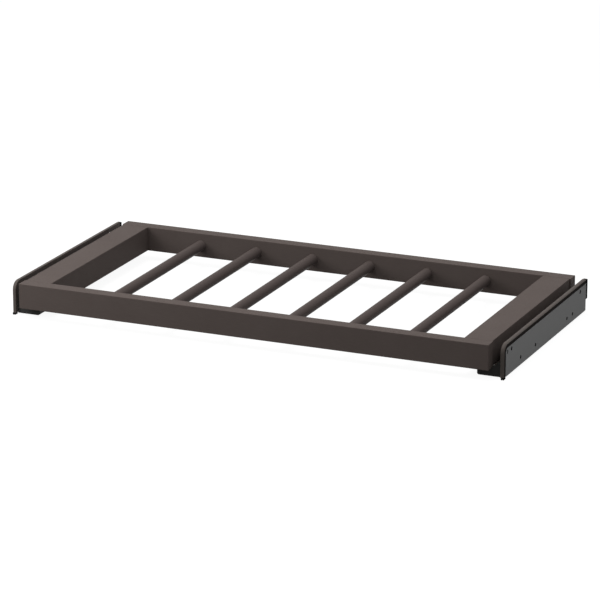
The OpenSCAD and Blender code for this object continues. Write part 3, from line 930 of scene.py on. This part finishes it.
def plate():
    """The right-hand plate: panel, step, holes and their pressed rims."""
    panel = outline_block("right_side_plate", wall_x - SHEET, wall_x, COVER_RIM)
    front = cover_low.y + COVER_RIM
    round_edges(panel, 0, PLATE_CORNER, 5,
                lambda m: near(m.z, bottom_z) and (near(m.y, front) or near(m.y, rear_y)))
    step = outline_block("step", wall_x - 2 * SHEET, wall_x - SHEET, FLANGE_START)
    cut(step, outline_block("inside", wall_x - 3 * SHEET, wall_x, COVER_RIM + FLANGE_LAP, PAST))
    weld(panel, step)
    places = hole_places() + rivet_places()
    drills = [bar("drill", (wall_x - 3 * SHEET, y, z), 4 * SHEET, radius, 0, 32)
              for y, z, radius in places]
    rims = [bar("rim", (wall_x - RIM_DEEP, y, z), RIM_DEEP + PAST, radius + RIM_WIDE, 0, 32)
            for y, z, radius in places]
    print("plate holes:", len(drills))
    return cut(panel, join(drills), join(rims))


right_plate = plate()
soften(right_plate, SHEET_EDGE)
left_plate = other_side(right_plate, "left_side_plate")
finish(right_plate, "right_plate", plate_coat)
finish(left_plate, "left_plate", plate_coat)
# The hole rims and walls get the near-black painted shade.
paint_hole_shade(right_plate)
paint_hole_shade(left_plate)

# %% [markdown]
# ## The cover
#
# A thin moulded shell rides over the plate's step. Its inner edge, towards the
# frame, is only eased. Its outer edge has the larger radius, so the light fades
# towards the lip. The edges are rounded on the solid block first, and then the
# block is hollowed.

# %% Model the cover
COVER_INNER_EDGE = 1.0 * MM
COVER_OUTER_EDGE = 3.4 * MM
cover_x = cover_low.x


def outer_path(edge, x):
    """True for an edge of the block's top and front run, on the face at x."""
    middle = edge_middle(edge)
    on_face = near(edge.verts[0].co.x, x) and near(edge.verts[1].co.x, x)
    return on_face and not near(middle.z, bottom_z) and not near(middle.y, rear_y)


def cover():
    """The right-hand cover, rounded, then hollowed and cut open below its lip."""
    piece = outline_block("right_cover_shell", cover_x, wall_x, 0)
    for x, radius in ((cover_x, COVER_INNER_EDGE), (wall_x, COVER_OUTER_EDGE)):
        choose(piece, "EDGE", lambda e: outer_path(e, x))
        bpy.ops.mesh.bevel(offset=radius, segments=3, affect="EDGES")
        leave()
    cut(piece, outline_block("inside", cover_x - PAST, wall_x + PAST, COVER_RIM, PAST))
    cut(piece, outline_block("channel", cover_x + COVER_WALL, wall_x - SHEET + LINE / 2, COVER_WALL, PAST))
    cut(piece, outline_block("below_lip", wall_x - SHEET, wall_x + PAST, COVER_LIP, PAST))
    return piece


right_cover = cover()
soften(right_cover, MOULDED_EDGE)
left_cover = other_side(right_cover, "left_cover_shell")
finish(right_cover, "right_cover", cover_polymer)
finish(left_cover, "left_cover", cover_polymer)

# %% [markdown]
# ## The edge strip, the rear cap and the foot
#
# Three small black mouldings close the runner. The strip lies in the slot
# between the cover's lip and the panel, the cap ends the cover at the back, and
# the foot plugs its lower end with two round lobes that stand on the floor. The
# strip's near-black, very matt colour is painted shade for the shadow in that slot.

# %% Model the small black mouldings
def edge_strip():
    low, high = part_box("right_edge_strip")
    piece = outline_block("right_edge_strip_moulding", low.x, high.x, COVER_LIP + LINE)
    cut(piece, outline_block("inside", low.x - PAST, high.x + PAST, COVER_RIM - LINE, PAST))
    return piece


REAR_CAP_EDGE = 0.5 * MM
FOOT_SOLE = 1 * MM
LOBE_ROUND = 0.48


def rear_cap():
    low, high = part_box("right_rear_cap")
    piece = block("right_rear_cap_moulding", (low.x, rear_y, low.z), high)
    round_edges(piece, 0, PLATE_CORNER, 6, lambda m: near(m.y, high.y))
    soften(piece, REAR_CAP_EDGE, 3)
    plug = block("plug", (low.x + COVER_WALL + LINE, low.y, cover_high.z - COVER_RIM),
                 (wall_x - 2 * SHEET - LINE, rear_y + 2 * LINE, cover_high.z - COVER_WALL - LINE))
    return weld(piece, plug)


def foot():
    """The foot's sole and its two lobes, each rounded by about half its width."""
    low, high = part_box("right_foot")
    sole_low = bottom_z - FOOT_SOLE
    lobe = (high.x - low.x) / 2 - LINE
    back = low.y + COVER_RIM - 2 * LINE
    piece = block("right_foot_moulding", (low.x, low.y, sole_low), (high.x, back, bottom_z))
    for x in (low.x, high.x - lobe):
        knob = block("lobe", (x, low.y, low.z), (x + lobe, back, sole_low + LINE))
        round_edges(knob, 1, LOBE_ROUND * lobe, 6, lambda m: near(m.z, low.z))
        weld(piece, knob)
    soften(piece, LINE, 2)
    plug = block("plug", (cover_x + COVER_WALL + LINE, cover_low.y + COVER_WALL + LINE, bottom_z - LINE),
                 (wall_x - 2 * SHEET - LINE, cover_low.y + COVER_RIM, high.z))
    return weld(piece, plug)


for make, name, edge, material in (
        (edge_strip, "edge_strip", SHEET_EDGE, strip_gap_shade_paint), (rear_cap, "rear_cap", 0, matt_nylon),
        (foot, "foot", 0, matt_nylon)):
    right = make()
    if edge:
        soften(right, edge)
    left = other_side(right, right.name.replace("right", "left"))
    finish(right, "right_" + name, material)
    finish(left, "left_" + name, material)

# %% [markdown]
# ## Materials for the solids that stay
#
# The slides, cages, balls, spacers, dowels, cams and rivets have their true
# shape already. They keep their meshes and only get their finish.

# %% Dress the solids that stay
both = ("left_", "right_")
finishes = {
    strip_steel: [side + name for side in both for name in (
        "drawer_member", "middle_member", "cabinet_member", "outer_cage", "inner_cage")] + ["carrier_rivets"],
    ball_steel: ["outer_balls", "inner_balls"],
    plate_coat: [side + "spacer" for side in both],
    beech: ["corner_dowels"],
    cast_zinc: ["cam_bolts", "cam_discs"],
    rivet_black: ["plate_rivets"],
    bumper_rubber: ["rear_bumpers"],
}
for material, names in finishes.items():
    for name in names:
        solid = nodes[name]
        solid.data.materials.clear()
        solid.data.materials.append(material)
dressed = {name for names in finishes.values() for name in names}
shown = {name for name, solid in nodes.items() if not solid.hide_render}
print("dressed:", len(dressed), "left out:", sorted(shown - dressed))

# %% [markdown]
# ## Floor and background
#
# The picture's ground is plain white. More light would wash the brown out, so
# the white comes from the floor's own shader: rays from the camera, and rays
# that mirror or pass through something, see it glow softly, and under that glow
# it keeps the hanger's shadow. Seen from below it is clear, so that the
# underside can be looked at.

# %% Floor
FLOOR_SIZE = 80
FLOOR_GLOW = 0.93


def seen_directly(tree):
    """One for camera, mirror and glass rays, and zero for the light that bounces."""
    rays = add_node(tree, "ShaderNodeLightPath")
    first = add_node(tree, "ShaderNodeMath", {"operation": "MAXIMUM"}, {
        0: rays.outputs["Is Camera Ray"], 1: rays.outputs["Is Glossy Ray"]})
    return add_node(tree, "ShaderNodeMath", {"operation": "MAXIMUM"}, {
        0: first.outputs["Value"], 1: rays.outputs["Is Transmission Ray"]}).outputs["Value"]


def floor_material():
    material, tree = new_material("pale_paper_floor")
    seen = seen_directly(tree)
    fibre = add_node(tree, "ShaderNodeTexNoise", {}, {
        "Vector": object_mapping(tree), "Scale": per_metre(40), "Detail": 2.0})
    tint = add_node(tree, "ShaderNodeMix", {"data_type": "RGBA"}, {
        "Factor": fibre.outputs["Fac"], "A": hex_to_linear("#7b7b7b"), "B": hex_to_linear("#7e7e7e")})
    paper = add_node(tree, "ShaderNodeBsdfDiffuse", {}, {"Color": tint.outputs["Result"]})
    glow = add_node(tree, "ShaderNodeEmission", {}, {"Strength": FLOOR_GLOW})
    lit = add_node(tree, "ShaderNodeAddShader", {}, {0: paper.outputs["BSDF"], 1: glow.outputs["Emission"]})
    top = add_node(tree, "ShaderNodeMixShader", {}, {
        "Fac": seen, 1: paper.outputs["BSDF"], 2: lit.outputs["Shader"]})
    clear = add_node(tree, "ShaderNodeBsdfTransparent")
    side = add_node(tree, "ShaderNodeNewGeometry")
    both_sides = add_node(tree, "ShaderNodeMixShader", {}, {
        "Fac": side.outputs["Backfacing"], 1: top.outputs["Shader"], 2: clear.outputs["BSDF"]})
    add_node(tree, "ShaderNodeOutputMaterial", {}, {"Surface": both_sides.outputs["Shader"]})
    return material


bpy.ops.object.select_all(action="DESELECT")
bpy.ops.mesh.primitive_plane_add(size=FLOOR_SIZE)
floor = bpy.context.object
floor.name = "floor"
floor.data.materials.append(floor_material())
print("floor:", FLOOR_SIZE, "metres wide")

# %% [markdown]
# ## Light
#
# The picture was lit from above by one very large soft source, a little to the
# front and the left: tops are bright, fronts about half as bright and fading to
# the right, and the faces that look right are darkest. A second soft box at the
# front left makes that fading, and a weak third one at the right shows the side
# plate. An even sky fills the rest. The levels are set so that a colour on top
# renders about as it is written.

# %% Sky and lamps
SKY = 0.31


def lamp(name, place, aim, size, power):
    """A square soft box at place, pointed at aim."""
    bpy.ops.object.select_all(action="DESELECT")
    bpy.ops.object.light_add(type="AREA", location=place)
    light = bpy.context.object
    light.name = name
    light.data.shape = "SQUARE"
    light.data.size = size
    light.data.energy = power
    light.visible_camera = False
    light.rotation_euler = (Vector(aim) - Vector(place)).to_track_quat("-Z", "Y").to_euler()
    return light


lamp("soft_box_above", (-0.5, -0.4, 3.2), (0, 0, 0), 2.2, 49)
lamp("soft_box_front_left", (-1.1, -1.0, 0.7), (-0.3, 0, 0), 0.7, 6.2)
lamp("soft_box_right", (1.2, 0.1, 1.5), (0, 0, 0), 0.8, 2.3)

world = bpy.data.worlds.new("soft_sky")
bpy.context.scene.world = world
world.use_nodes = True
world.node_tree.nodes.clear()
sky_tree = world.node_tree
strength = add_node(sky_tree, "ShaderNodeMapRange", {}, {
    "Value": seen_directly(sky_tree), "To Min": SKY, "To Max": 1.0})
sky = add_node(sky_tree, "ShaderNodeBackground", {}, {"Strength": strength.outputs["Result"]})
add_node(sky_tree, "ShaderNodeOutputWorld", {}, {"Surface": sky.outputs["Background"]})
print("sky level:", SKY)

# %% [markdown]
# ## Camera
#
# The photograph was taken with a long lens from far off, to the right of the
# hanger and above it. Its verticals stay upright, and its parallels hardly meet.
# The place, the turn and the tilt were found from the frame's six visible
# corners, and the lens from how much the far edges shrink.

# %% Camera
CAMERA_PLACE = (2.4996, -5.7596, 1.9762)
CAMERA_TURN = 0.409
CAMERA_TILT = 0.301
FRAME_PIXELS = 600
FOCAL_PIXELS = 3573
SENSOR = 36.0

bpy.ops.object.select_all(action="DESELECT")
bpy.ops.object.camera_add(location=CAMERA_PLACE, rotation=(math.pi / 2 - CAMERA_TILT, 0, CAMERA_TURN))
camera = bpy.context.object
camera.name = "photo_camera"
camera.data.sensor_width = SENSOR
camera.data.lens = FOCAL_PIXELS * SENSOR / FRAME_PIXELS
camera.data.clip_end = 200
camera.data.dof.use_dof = False
bpy.context.scene.camera = camera
bpy.context.scene.view_settings.view_transform = "Standard"
print("lens:", round(camera.data.lens, 2), "mm")
